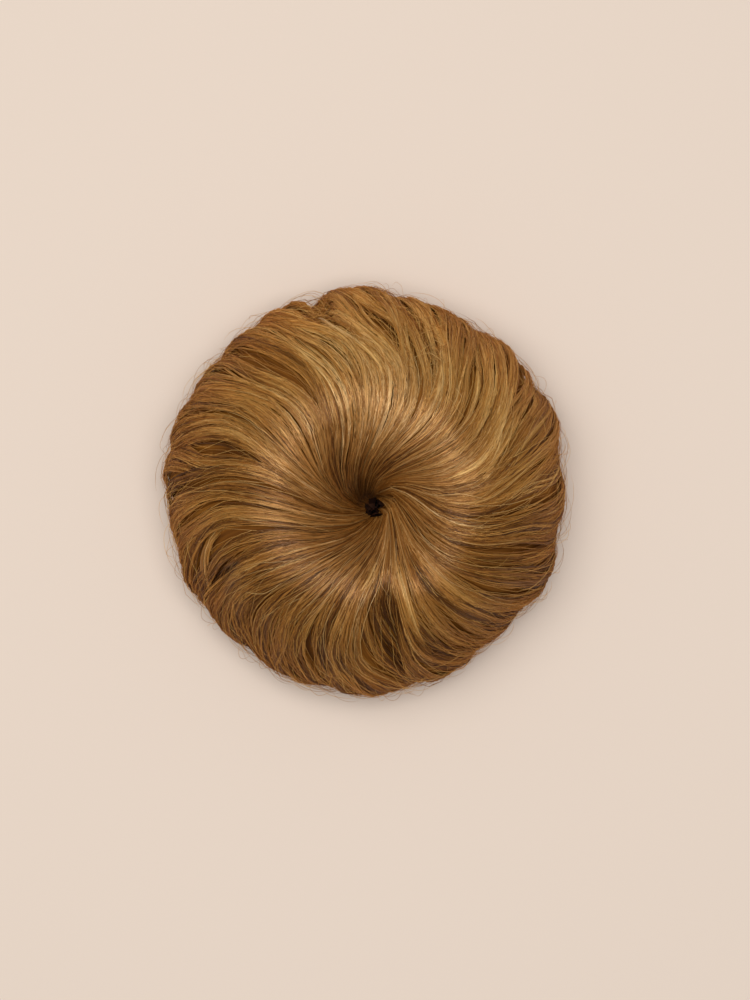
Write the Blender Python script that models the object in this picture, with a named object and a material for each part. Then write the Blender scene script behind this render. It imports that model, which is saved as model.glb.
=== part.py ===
"""Top knot hairpiece: a dome of hair on a hollow cap with a comb.

The hair starts at a sunken whorl in the middle of the top, swings over a round crest and rolls under
at the rim, where it meets the cap. The wearer's own small knot goes into the cap from below.
Metres, +Z up. The piece lies on its rim at z = 0, with the middle of its outline over the origin.
"""
import math
from collections import namedtuple

import bmesh
import bpy
from mathutils import Vector

# Driving dimensions
RIM_RADIUS = 0.0642
CREST_HEIGHT = 0.0527
CAP_RADIUS = 0.0440
CAP_HEIGHT = 0.0343
SEAM_GAP = 0.0003

# Hair: where the whorl sits, how the locks swing, and how proud they stand
WHORL_X = 0.0031
WHORL_Y = -0.0044
CENTRE_CURL = 50.0
FLOW_START = 0.0040
TUCK_TURN = 9.0
GROOVE_DEPTH = 0.0014
GROOVE_FADE = 0.0140
RIDGE_ROUNDNESS = 0.62
FULL_RELIEF_RADIUS = 0.0300
COLUMNS_PER_LOCK = 6
OUTER_ROWS = 28
FOOT_OUTER_RADIUS = 0.0515
CAVITY_ROWS = 8

# Lip: hair from the lower right comes into the whorl high up, so that the well is steep on one side only
LIP_ANGLE = -25.0
LIP_HEIGHT = 0.0050
LIP_START = 0.0010
LIP_TOP = 0.0050
LIP_END = 0.0170

# Cap: a thin dome with a straight skirt and a thicker hem at its mouth
CAP_WALL = 0.0018
CAP_SKIRT = 0.0050
CAP_SQUARENESS = 2.6
CAP_SEGMENTS = 64
CAP_ROWS = 7
HEM_WIDTH = 0.0030

# Comb: a curved spine against the hem, with teeth that point into the mouth
COMB_SIDE = -90.0
COMB_HALF_ANGLE = 27.0
COMB_SPINE_DEPTH = 0.0028
COMB_SPINE_HEIGHT = 0.0036
COMB_BASE_HEIGHT = 0.0010
TOOTH_COUNT = 12
TOOTH_TIP_LINE = 0.0230
TOOTH_THICKNESS = 0.0012
TOOTH_TIP_SHARE = 0.5
TOOTH_ARCH = 0.0012
TOOTH_STEPS = 3

# Edges sharper than this are shaded hard, in degrees
SHARP_EDGE = 40.0

# Fineness of the sums that follow a curve
CURVE_STEPS = 24
FLOW_STEPS = 40
MERGE_DISTANCE = 0.00001

# Half section of the hair from the middle of the well, over the crest and round under the rim
SectionPoint = namedtuple("SectionPoint", "radius height")
SECTION = (
    SectionPoint(0.0000, 0.0370),
    SectionPoint(0.0045, 0.0380),
    SectionPoint(0.0100, 0.0420),
    SectionPoint(0.0160, 0.0472),
    SectionPoint(0.0230, 0.0512),
    SectionPoint(0.0305, CREST_HEIGHT),
    SectionPoint(0.0390, 0.0511),
    SectionPoint(0.0475, 0.0461),
    SectionPoint(0.0550, 0.0381),
    SectionPoint(0.0608, 0.0280),
    SectionPoint(RIM_RADIUS, 0.0175),
    SectionPoint(0.0635, 0.0092),
    SectionPoint(0.0600, 0.0030),
    SectionPoint(0.0550, 0.0005),
    SectionPoint(FOOT_OUTER_RADIUS, 0.0000),
)

# Locks round the rim. angle: where the lock reaches the rim, in degrees from +X. reach: how far its
# end stands out from the mean rim. straight_radius: where it runs straight out, having turned right
# before and turning left after. rim_curl: its turn to the left at the rim, in degrees. lift: its ridge.
# groove_start: where the groove on its right begins, because the locks part on their way out.
Lock = namedtuple("Lock", "angle reach straight_radius rim_curl lift groove_start")
LOCKS = (
    Lock(0.0, -0.0004, 0.0310, 20.0, 0.0010, 0.0360),
    Lock(22.0, 0.0006, 0.0300, 26.0, 0.0014, 0.0120),
    Lock(43.0, 0.0004, 0.0330, 38.0, 0.0010, 0.0400),
    Lock(67.0, -0.0011, 0.0350, 22.0, 0.0008, 0.0080),
    Lock(94.0, 0.0010, 0.0340, 46.0, 0.0016, 0.0260),
    Lock(115.0, 0.0005, 0.0360, 38.0, 0.0013, 0.0420),
    Lock(130.0, -0.0005, 0.0385, 30.0, 0.0008, 0.0140),
    Lock(145.0, -0.0007, 0.0405, 24.0, 0.0009, 0.0400),
    Lock(160.0, 0.0004, 0.0410, 16.0, 0.0015, 0.0200),
    Lock(174.0, 0.0003, 0.0405, 14.0, 0.0010, 0.0420),
    Lock(189.0, -0.0011, 0.0420, 24.0, 0.0007, 0.0100),
    Lock(207.0, 0.0001, 0.0430, 22.0, 0.0013, 0.0340),
    Lock(223.0, -0.0007, 0.0430, 30.0, 0.0008, 0.0440),
    Lock(244.0, 0.0000, 0.0420, 40.0, 0.0012, 0.0120),
    Lock(273.0, 0.0006, 0.0385, 46.0, 0.0016, 0.0300),
    Lock(297.0, -0.0002, 0.0325, 36.0, 0.0013, 0.0080),
    Lock(310.0, -0.0016, 0.0300, 32.0, 0.0005, 0.0400),
    Lock(334.0, 0.0004, 0.0290, 26.0, 0.0015, 0.0160),
)

# Hollows between locks. angle and radius: their middle. half_angle: across, in degrees. half_length:
# along the lock. depth: how far the surface sinks.
Hollow = namedtuple("Hollow", "angle radius half_angle half_length depth")
HOLLOWS = (
    Hollow(277.0, 0.0450, 6.0, 0.0090, 0.0050),
    Hollow(211.0, 0.0560, 6.0, 0.0060, 0.0025),
    Hollow(128.0, 0.0170, 30.0, 0.0070, 0.0025),
    Hollow(66.0, 0.0540, 5.0, 0.0070, 0.0025),
)


def clear_scene():
    for old in list(bpy.data.objects):
        bpy.data.objects.remove(old, do_unlink=True)


def plain_material(name, colour, roughness):
    material = bpy.data.materials.new(name)
    material.use_nodes = True
    shader = material.node_tree.nodes["Principled BSDF"]
    shader.inputs["Base Color"].default_value = (*colour, 1.0)
    shader.inputs["Roughness"].default_value = roughness
    shader.inputs["Metallic"].default_value = 0.0
    return material


def finished_object(name, bm, material):
    """Turn a bmesh into a named object with its faces out, smooth but for its hard edges."""
    bmesh.ops.recalc_face_normals(bm, faces=bm.faces)
    mesh = bpy.data.meshes.new(name)
    bm.to_mesh(mesh)
    bm.free()
    mesh.shade_smooth()
    mesh.set_sharp_from_angle(angle=math.radians(SHARP_EDGE))
    mesh.materials.append(material)
    piece = bpy.data.objects.new(name, mesh)
    bpy.context.scene.collection.objects.link(piece)
    return piece


def smooth_step(value):
    share = min(max(value, 0.0), 1.0)
    return share * share * (3.0 - 2.0 * share)


def mix(first, second, share):
    return first + (second - first) * share


def spline_point(points, span, share):
    """A point on the Catmull-Rom curve through points, between points[span] and points[span + 1]."""
    before = points[max(span - 1, 0)]
    start = points[span]
    end = points[span + 1]
    after = points[min(span + 2, len(points) - 1)]
    return tuple(
        0.5 * (2.0 * b + (c - a) * share
               + (2.0 * a - 5.0 * b + 4.0 * c - d) * share ** 2
               + (3.0 * b - a - 3.0 * c + d) * share ** 3)
        for a, b, c, d in zip(before, start, end, after))


def even_section(points, count):
    """The curve through points as count + 1 points at even steps along it."""
    fine = [
        spline_point(points, span, step / CURVE_STEPS)
        for span in range(len(points) - 1)
        for step in range(CURVE_STEPS)]
    fine.append(tuple(points[-1]))
    lengths = [0.0]
    for first, second in zip(fine, fine[1:]):
        lengths.append(lengths[-1] + math.dist(first, second))
    even = []
    place = 0
    for number in range(count + 1):
        target = lengths[-1] * number / count
        while place < len(fine) - 2 and lengths[place + 1] < target:
            place += 1
        share = (target - lengths[place]) / (lengths[place + 1] - lengths[place])
        even.append(tuple(mix(a, b, share) for a, b in zip(fine[place], fine[place + 1])))
    return even


def lock_turn(radius, straight_radius, rim_curl):
    """How far a lock points to the left of the straight way out, in radians."""
    if radius < straight_radius:
        return -math.radians(CENTRE_CURL) * (1.0 - radius / straight_radius)
    return math.radians(rim_curl) * (radius - straight_radius) / (RIM_RADIUS - straight_radius)


def lock_angle(radius, rim_angle, straight_radius, rim_curl):
    """The direction of a lock's middle line at a radius, followed inwards from the rim, in radians."""
    angle = math.radians(rim_angle)
    inner = max(radius, FLOW_START)
    step = (RIM_RADIUS - inner) / FLOW_STEPS
    for number in range(FLOW_STEPS):
        middle = RIM_RADIUS - (number + 0.5) * step
        angle -= math.tan(lock_turn(middle, straight_radius, rim_curl)) / middle * step
    return angle


def lock_columns():
    """One entry for each column of the hair: its place in its lock, and the lock values blended there."""
    columns = []
    count = len(LOCKS)
    for number, lock in enumerate(LOCKS):
        before = LOCKS[number - 1]
        after = LOCKS[(number + 1) % count]
        before_angle = before.angle - (360.0 if number == 0 else 0.0)
        after_angle = after.angle + (360.0 if number == count - 1 else 0.0)
        start = 0.5 * (before_angle + lock.angle)
        end = 0.5 * (lock.angle + after_angle)
        for column in range(COLUMNS_PER_LOCK):
            share = column / COLUMNS_PER_LOCK
            angle = start + (end - start) * share
            if angle < lock.angle:
                other = before
                weight = (lock.angle - angle) / (lock.angle - before_angle)
            else:
                other = after
                weight = (angle - lock.angle) / (after_angle - lock.angle)
            blend = smooth_step(weight)
            columns.append({
                "angle": angle,
                "reach": mix(lock.reach, other.reach, blend),
                "straight_radius": mix(lock.straight_radius, other.straight_radius, blend),
                "rim_curl": mix(lock.rim_curl, other.rim_curl, blend),
                "ridge": (4.0 * share * (1.0 - share)) ** RIDGE_ROUNDNESS,
                "lift": mix(lock.lift, other.lift, blend),
                "groove_start": lock.groove_start if angle < lock.angle else after.groove_start,
            })
    return columns


def hollow_depth(angle, radius):
    """How far the hollows between the locks sink the surface at a place."""
    depth = 0.0
    for hollow in HOLLOWS:
        turn = (math.degrees(angle) - hollow.angle + 180.0) % 360.0 - 180.0
        across = turn / hollow.half_angle
        along = (radius - hollow.radius) / hollow.half_length
        depth += hollow.depth * math.exp(-across * across - along * along)
    return depth


def lip_rise(angle, radius):
    """How far the lip on one side of the whorl stands up at a place."""
    facing = max(math.cos(angle - math.radians(LIP_ANGLE)), 0.0)
    start = smooth_step((radius - LIP_START) / (LIP_TOP - LIP_START))
    end = 1.0 - smooth_step((radius - LIP_TOP) / (LIP_END - LIP_TOP))
    return LIP_HEIGHT * facing * start * end


def cap_curve(extra, count):
    """The cap's outer curve, moved out by extra: from the top of its skirt to its crown."""
    power = 2.0 / CAP_SQUARENESS
    points = []
    for number in range(count + 1):
        turn = 0.5 * math.pi * number / count
        radius = (CAP_RADIUS + extra) * math.cos(turn) ** power if number < count else 0.0
        height = CAP_SKIRT + (CAP_HEIGHT + extra - CAP_SKIRT) * math.sin(turn) ** power
        points.append((radius, height))
    return points


def rings_to_bmesh(rings, first_pole, last_pole):
    """Skin a list of closed rings of points, with a fan at each end down to its pole."""
    bm = bmesh.new()
    rows = [[bm.verts.new(point) for point in ring] for ring in rings]
    size = len(rings[0])
    for first, second in zip(rows, rows[1:]):
        for place in range(size):
            after = (place + 1) % size
            bm.faces.new((first[place], first[after], second[after], second[place]))
    for row, pole in ((rows[0], first_pole), (rows[-1], last_pole)):
        tip = bm.verts.new(pole)
        for place in range(size):
            bm.faces.new((row[place], row[(place + 1) % size], tip))
    return bm


def hair_dome(material):
    """The hair: locks fused to one hollow wall, from the well over the crest to the cavity for the cap."""
    columns = lock_columns()
    section = even_section(SECTION, OUTER_ROWS)
    widest = max(range(len(section)), key=lambda number: section[number][0])
    crest = max(range(len(section)), key=lambda number: section[number][1])
    rings = []
    for number in range(1, len(section)):
        radius, height = section[number]
        before = section[number - 1]
        after = section[min(number + 1, OUTER_ROWS)]
        run = math.dist(before, after)
        out_radius = (before[1] - after[1]) / run
        out_height = (after[0] - before[0]) / run
        under = max(number - widest, 0) / (OUTER_ROWS - widest)
        reach_share = smooth_step((number - crest) / (widest - crest)) * (1.0 - smooth_step(under))
        relief_share = smooth_step(radius / FULL_RELIEF_RADIUS) * (1.0 - smooth_step(under))
        centre_share = 1.0 - smooth_step(radius / RIM_RADIUS) if number <= widest else 0.0
        ring = []
        for column in columns:
            flow_radius = radius if number <= widest else RIM_RADIUS
            angle = lock_angle(flow_radius, column["angle"], column["straight_radius"], column["rim_curl"])
            angle += math.radians(TUCK_TURN) * under
            parted = smooth_step((radius - column["groove_start"]) / GROOVE_FADE)
            relief = column["lift"] - (column["lift"] + GROOVE_DEPTH) * (1.0 - column["ridge"]) * parted
            sink = hollow_depth(angle, radius) * (1.0 - smooth_step(under))
            proud = relief * relief_share - sink
            place = radius + column["reach"] * reach_share + out_radius * proud
            ring.append((
                WHORL_X * centre_share + place * math.cos(angle),
                WHORL_Y * centre_share + place * math.sin(angle),
                height + out_height * proud + lip_rise(angle, radius)))
        rings.append(ring)
    foot = [(CAP_RADIUS + SEAM_GAP, 0.0)]
    for radius, height in foot + cap_curve(SEAM_GAP, CAVITY_ROWS)[:-1]:
        ring = []
        for column in columns:
            angle = math.radians(column["angle"] + TUCK_TURN)
            ring.append((radius * math.cos(angle), radius * math.sin(angle), height))
        rings.append(ring)
    well = (WHORL_X, WHORL_Y, SECTION[0].height)
    cavity_top = (0.0, 0.0, CAP_HEIGHT + SEAM_GAP)
    bm = rings_to_bmesh(rings, well, cavity_top)
    return finished_object("hair_dome", bm, material)


def base_cap(material):
    """The cap that the hair is sewn to: a thin dome, open below, with a flat hem at its mouth."""
    outer = [(CAP_RADIUS, 0.0)] + cap_curve(0.0, CAP_ROWS)
    inner = cap_curve(-CAP_WALL, CAP_ROWS)[::-1]
    hem = [(CAP_RADIUS - HEM_WIDTH, CAP_SKIRT), (CAP_RADIUS - HEM_WIDTH, 0.0)]
    profile = outer + inner + hem
    bm = bmesh.new()
    verts = [bm.verts.new((radius, 0.0, height)) for radius, height in profile]
    edges = [bm.edges.new((verts[place], verts[place + 1])) for place in range(len(outer) - 1)]
    edges += [bm.edges.new((verts[place - 1], verts[place])) for place in range(len(outer) + 1, len(verts))]
    edges.append(bm.edges.new((verts[-1], verts[0])))
    bmesh.ops.spin(bm, geom=verts + edges, axis=(0.0, 0.0, 1.0), cent=(0.0, 0.0, 0.0),
                   angle=2.0 * math.pi, steps=CAP_SEGMENTS, use_merge=True)
    bmesh.ops.remove_doubles(bm, verts=bm.verts, dist=MERGE_DISTANCE)
    return finished_object("base_cap", bm, material)


def clip_comb(material):
    """The comb inside the cap's mouth: a curved spine along the hem, with teeth towards the middle."""
    back = CAP_RADIUS - HEM_WIDTH - SEAM_GAP
    front = back - COMB_SPINE_DEPTH
    middle_height = COMB_BASE_HEIGHT + 0.5 * COMB_SPINE_HEIGHT
    levels = (
        COMB_BASE_HEIGHT,
        middle_height - 0.5 * TOOTH_THICKNESS,
        middle_height + 0.5 * TOOTH_THICKNESS,
        COMB_BASE_HEIGHT + COMB_SPINE_HEIGHT,
    )
    count = 2 * TOOTH_COUNT
    bm = bmesh.new()
    grid = []
    for number in range(count):
        angle = math.radians(COMB_SIDE + COMB_HALF_ANGLE * (2.0 * number / (count - 1) - 1.0))
        way = Vector((math.cos(angle), math.sin(angle), 0.0))
        ring = [way * back + Vector((0.0, 0.0, level)) for level in (levels[0], levels[-1])]
        ring += [way * front + Vector((0.0, 0.0, level)) for level in reversed(levels)]
        grid.append([bm.verts.new(point) for point in ring])
    ring_size = len(grid[0])
    tooth_row = 3
    tooth_faces = []
    for number in range(count - 1):
        for place in range(ring_size):
            after = (place + 1) % ring_size
            first = grid[number]
            second = grid[number + 1]
            face = bm.faces.new((first[place], first[after], second[after], second[place]))
            if place == tooth_row and number % 2 == 0:
                tooth_faces.append(face)
    bm.faces.new(grid[0])
    bm.faces.new(grid[-1])
    for face in tooth_faces:
        tip = face
        step_length = (-TOOTH_TIP_LINE - face.calc_center_median().y) / TOOTH_STEPS
        for step in range(TOOTH_STEPS):
            tip = bmesh.ops.extrude_discrete_faces(bm, faces=[tip])["faces"][0]
            start_rise = TOOTH_ARCH * math.sin(0.5 * math.pi * step / TOOTH_STEPS)
            end_rise = TOOTH_ARCH * math.sin(0.5 * math.pi * (step + 1) / TOOTH_STEPS)
            bmesh.ops.translate(bm, verts=tip.verts, vec=(0.0, step_length, end_rise - start_rise))
        centre = tip.calc_center_median()
        for vert in tip.verts:
            vert.co = centre + (vert.co - centre) * TOOTH_TIP_SHARE
    bmesh.ops.triangulate(bm, faces=bm.faces)
    return finished_object("clip_comb", bm, material)


def centre_on_origin(pieces, outermost):
    """Move all pieces sideways together, so that the outermost one's box is centred on the origin."""
    xs = [vert.co.x for vert in outermost.data.vertices]
    ys = [vert.co.y for vert in outermost.data.vertices]
    for piece in pieces:
        piece.location.x = -0.5 * (min(xs) + max(xs))
        piece.location.y = -0.5 * (min(ys) + max(ys))


def build_hairpiece():
    clear_scene()
    hair = hair_dome(plain_material("golden_brown_hair", (0.27, 0.13, 0.035), 0.45))
    cap = base_cap(plain_material("brown_net_cap", (0.13, 0.065, 0.022), 0.75))
    comb = clip_comb(plain_material("brown_comb_plastic", (0.09, 0.045, 0.018), 0.30))
    centre_on_origin([hair, cap, comb], hair)


build_hairpiece()
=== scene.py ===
import math
from functools import reduce

import bmesh
import bpy
import numpy as np
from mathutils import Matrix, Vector
from mathutils.bvhtree import BVHTree


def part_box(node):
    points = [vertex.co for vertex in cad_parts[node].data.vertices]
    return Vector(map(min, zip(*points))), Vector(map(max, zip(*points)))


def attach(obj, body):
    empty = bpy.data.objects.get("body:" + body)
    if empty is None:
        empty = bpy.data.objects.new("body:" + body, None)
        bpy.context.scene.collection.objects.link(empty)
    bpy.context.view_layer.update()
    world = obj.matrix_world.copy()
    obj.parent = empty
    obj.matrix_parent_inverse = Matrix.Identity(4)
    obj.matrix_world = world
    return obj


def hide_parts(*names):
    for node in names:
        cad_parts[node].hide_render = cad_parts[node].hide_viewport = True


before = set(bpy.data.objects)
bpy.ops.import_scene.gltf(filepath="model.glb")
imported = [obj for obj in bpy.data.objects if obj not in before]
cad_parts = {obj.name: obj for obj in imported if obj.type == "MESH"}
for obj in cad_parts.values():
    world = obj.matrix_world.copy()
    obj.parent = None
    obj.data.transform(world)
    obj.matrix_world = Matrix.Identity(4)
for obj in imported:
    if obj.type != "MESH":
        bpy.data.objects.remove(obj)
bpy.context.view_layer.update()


# Base cap. The hair is sewn to this small dome of stretch net, which the hair hides from above.
# Two plies of brown net drawn to a dome, with a turned hem at the mouth that is closed by a zigzag seam.
cap_low, cap_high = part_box("base_cap")
axis_x = 0.5 * (cap_low.x + cap_high.x)
axis_y = 0.5 * (cap_low.y + cap_high.y)
cap_radius = 0.5 * (cap_high.x - cap_low.x)
cap_height = cap_high.z
cap_wall = 0.0018
cap_skirt = 0.005
cap_power = 2.0 / 2.6
cap_steps = 22
hem_width = 0.003
gather_count = 72
gather_depth = 0.00012
gather_start = 0.001
gather_reach = 0.012
seam_gap = 0.0001


def add_node(tree, kind, inputs=None, **settings):
    """Add a node with its settings, then give each named input its value or the output that feeds it."""
    node = tree.nodes.new(kind)
    for name, value in settings.items():
        setattr(node, name, value)
    feed(tree, node, inputs or {})
    return node


def feed(tree, node, inputs):
    for name, value in inputs.items():
        if isinstance(value, bpy.types.NodeSocket):
            tree.links.new(value, node.inputs[name])
        else:
            node.inputs[name].default_value = value


def new_material(name):
    material = bpy.data.materials.new(name)
    material.use_nodes = True
    return material, material.node_tree, material.node_tree.nodes["Principled BSDF"]


def colour_ramp(tree, factor, *stops):
    """The colour for a factor from 0 to 1. Each stop is a place on the ramp and its colour."""
    node = add_node(tree, "ShaderNodeValToRGB", {"Fac": factor})
    elements = node.color_ramp.elements
    while len(elements) < len(stops):
        elements.new(0.5)
    for element, (place, colour) in zip(elements, stops):
        element.position = place
        element.color = (*colour, 1.0)
    return node.outputs["Color"]


net_material, net_tree, net_shader = new_material("brown_net")
net_place = add_node(net_tree, "ShaderNodeTexCoord").outputs["Object"]
net_weave = add_node(
    net_tree, "ShaderNodeTexVoronoi", {"Vector": net_place, "Scale": 1100.0},
    feature="DISTANCE_TO_EDGE").outputs["Distance"]
net_bump = add_node(
    net_tree, "ShaderNodeBump", {"Height": net_weave, "Strength": 0.7, "Distance": 0.0003}, invert=True)
feed(net_tree, net_shader, {
    "Base Color": colour_ramp(
        net_tree, net_weave, (0.0, (0.130, 0.065, 0.022)), (0.30, (0.050, 0.024, 0.009))),
    "Normal": net_bump.outputs["Normal"],
    "Roughness": 0.85,
})


def finished_piece(name, mesh, material, replaced):
    piece = bpy.data.objects.new(name, mesh)
    bpy.context.scene.collection.objects.link(piece)
    mesh.materials.clear()
    mesh.materials.append(material)
    mesh.shade_smooth()
    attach(piece, "root")
    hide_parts(replaced)


def smooth_step(value):
    share = np.clip(value, 0.0, 1.0)
    return share * share * (3.0 - 2.0 * share)


def dome_point(radius, height, turn):
    """Radius and height of a place on a dome that stands on the skirt: turn goes from skirt to crown."""
    rise = (height - cap_skirt) * math.sin(turn) ** cap_power
    return radius * math.cos(turn) ** cap_power, cap_skirt + rise


def dome_section(radius, height):
    """Half a section of the dome, from just below its crown down to the skirt."""
    turns = np.linspace(0.5 * math.pi, 0.0, cap_steps + 1)[1:]
    return [dome_point(radius, height, turn) for turn in turns]


def mesh_of(form, name):
    bmesh.ops.recalc_face_normals(form, faces=form.faces)
    mesh = bpy.data.meshes.new(name)
    form.to_mesh(mesh)
    form.free()
    return mesh


def cap_mesh():
    """Net outside and inside with a rounded hem between them, drawn in by small gathers near the hem."""
    outside = dome_section(cap_radius, cap_height)
    inside = dome_section(cap_radius - cap_wall, cap_height - cap_wall)
    hem = [
        (cap_radius, 0.0030),
        (cap_radius, 0.0008),
        (cap_radius - 0.0003, 0.0002),
        (cap_radius - 0.0009, 0.0),
        (cap_radius - hem_width + 0.0009, 0.0),
        (cap_radius - hem_width + 0.0003, 0.0002),
        (cap_radius - hem_width, 0.0008),
        (cap_radius - hem_width, 0.0030),
        (cap_radius - hem_width + 0.0003, 0.0037),
        (cap_radius - cap_wall, 0.0043),
    ]
    section = outside + hem + inside[::-1]
    segments = 2 * gather_count
    form = bmesh.new()
    rows = []
    for radius, height in section:
        near_hem = 1.0 - smooth_step((height - gather_start) / gather_reach)
        row = []
        for place in range(segments):
            turn = 2.0 * math.pi * place / segments
            reach = radius - gather_depth * near_hem * (place % 2)
            row.append(form.verts.new((
                axis_x + reach * math.cos(turn),
                axis_y + reach * math.sin(turn),
                height)))
        rows.append(row)
    for upper, lower in zip(rows, rows[1:]):
        for place in range(segments):
            after = (place + 1) % segments
            form.faces.new((upper[place], lower[place], lower[after], upper[after]))
    top = form.verts.new((axis_x, axis_y, cap_height))
    ceiling = form.verts.new((axis_x, axis_y, cap_height - cap_wall))
    for place in range(segments):
        after = (place + 1) % segments
        form.faces.new((top, rows[0][place], rows[0][after]))
        form.faces.new((ceiling, rows[-1][after], rows[-1][place]))
    return mesh_of(form, "net_cap")


finished_piece("net_cap", cap_mesh(), net_material, "base_cap")

thread_material, thread_tree, thread_shader = new_material("brown_thread")
thread_place = add_node(thread_tree, "ShaderNodeTexCoord").outputs["Object"]
thread_twist = add_node(thread_tree, "ShaderNodeTexNoise", {"Vector": thread_place, "Scale": 3000.0})
feed(thread_tree, thread_shader, {
    "Base Color": colour_ramp(
        thread_tree, thread_twist.outputs["Fac"],
        (0.0, (0.090, 0.045, 0.018)), (1.0, (0.260, 0.140, 0.060))),
    "Roughness": 0.7,
})


class Fields:
    """Short ways to write sums of fields in a geometry node tree."""

    def __init__(self, tree):
        self.tree = tree

    def number(self, operation, *values):
        node = add_node(self.tree, "ShaderNodeMath", dict(enumerate(values)), operation=operation)
        return node.outputs[0]

    def total(self, *values):
        return reduce(lambda first, second: self.number("ADD", first, second), values)

    def product(self, *values):
        return reduce(lambda first, second: self.number("MULTIPLY", first, second), values)

    def vector(self, operation, inputs):
        return add_node(self.tree, "ShaderNodeVectorMath", inputs, operation=operation).outputs[0]

    def combined(self, *parts):
        return add_node(self.tree, "ShaderNodeCombineXYZ", dict(enumerate(parts))).outputs[0]

    def index(self):
        return add_node(self.tree, "GeometryNodeInputIndex").outputs[0]

    def moved(self, geometry, offset):
        node = add_node(self.tree, "GeometryNodeSetPosition", {"Geometry": geometry, "Offset": offset})
        return node.outputs["Geometry"]


def new_geometry_tree(name, inputs):
    """A geometry node tree with named inputs, the node that gives them, and its field writer."""
    tree = bpy.data.node_groups.new(name, "GeometryNodeTree")
    tree.interface.new_socket("Geometry", in_out="INPUT", socket_type="NodeSocketGeometry")
    for title, kind, value in inputs:
        socket = tree.interface.new_socket(title, in_out="INPUT", socket_type="NodeSocket" + kind)
        if value is not None:
            socket.default_value = value
    tree.interface.new_socket("Geometry", in_out="OUTPUT", socket_type="NodeSocketGeometry")
    return tree, tree.nodes.new("NodeGroupInput").outputs, Fields(tree)


def finish_geometry_tree(tree, geometry, material):
    rounded = add_node(tree, "GeometryNodeSetShadeSmooth", {"Geometry": geometry})
    whole = add_node(tree, "GeometryNodeRealizeInstances", {"Geometry": rounded.outputs["Geometry"]})
    coated = add_node(
        tree, "GeometryNodeSetMaterial", {"Geometry": whole.outputs["Geometry"], "Material": material})
    add_node(tree, "NodeGroupOutput", {"Geometry": coated.outputs["Geometry"]})


def made_by(tree, name, mesh, values):
    """Run a geometry node tree once on a mesh, and return what it makes as a plain mesh."""
    worker = bpy.data.objects.new(name + "_worker", mesh)
    bpy.context.scene.collection.objects.link(worker)
    modifier = worker.modifiers.new("make", "NODES")
    modifier.node_group = tree
    for item in tree.interface.items_tree:
        if item.in_out == "INPUT" and item.name in values:
            modifier[item.identifier] = values[item.name]
    evaluated = worker.evaluated_get(bpy.context.evaluated_depsgraph_get())
    made = bpy.data.meshes.new_from_object(evaluated)
    bpy.data.objects.remove(worker, do_unlink=True)
    bpy.data.meshes.remove(mesh)
    made.name = name
    return made


def zigzag_tree():
    """A zigzag seam on the inner face of a round hem: one thread that steps up and down."""
    tree, given, fields = new_geometry_tree("zigzag_seam", (
        ("Stitches", "Int", 110),
        ("Seam radius", "Float", 0.041),
        ("Seam height", "Float", 0.0018),
        ("Stitch width", "Float", 0.0016),
        ("Thread width", "Float", 0.00028),
        ("Centre", "Vector", None),
        ("Thread", "Material", None),
    ))
    path = add_node(tree, "GeometryNodeCurvePrimitiveCircle", {
        "Resolution": fields.product(given["Stitches"], 2.0),
        "Radius": given["Seam radius"],
    })
    side = fields.number("SUBTRACT", fields.number("MODULO", fields.index(), 2.0), 0.5)
    height = fields.total(fields.product(side, given["Stitch width"]), given["Seam height"])
    step = fields.vector("ADD", {0: given["Centre"], 1: fields.combined(0.0, 0.0, height)})
    thread = add_node(tree, "GeometryNodeCurvePrimitiveCircle", {
        "Resolution": 5,
        "Radius": fields.product(given["Thread width"], 0.5),
    })
    skin = add_node(tree, "GeometryNodeCurveToMesh", {
        "Curve": fields.moved(path.outputs["Curve"], step),
        "Profile Curve": thread.outputs["Curve"],
    })
    finish_geometry_tree(tree, skin.outputs["Mesh"], given["Thread"])
    return tree


seam = made_by(zigzag_tree(), "hem_seam", bpy.data.meshes.new("seam_start"), {
    "Seam radius": cap_radius - hem_width - seam_gap,
    "Centre": (axis_x, axis_y, 0.0),
    "Thread": thread_material,
})
finished_piece("hem_seam", seam, thread_material, "base_cap")


# Lay of the hair. Each lock leaves the sunken whorl turning right, runs straight out over the crest,
# and turns left to the rim, where it rolls under. The paths below lie on the dome's own surface.
rim_radius = 0.0642
rim_height = 0.0175
whorl_x = axis_x + 0.0031
whorl_y = axis_y - 0.0044

# The roots meet in a small hole in the whorl. Under the whorl's raised lip they start a little aside.
hole_x = whorl_x + 0.0013
hole_y = whorl_y - 0.0009
hole_radius = 0.0024
hole_bottom = 0.0354
root_spread = 0.06
dive_reach = 0.6
dive_height = 0.9
lip_way = math.radians(-25.0)
lip_shift = np.array((-0.0006, 0.0002, 0.0016))

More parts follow.
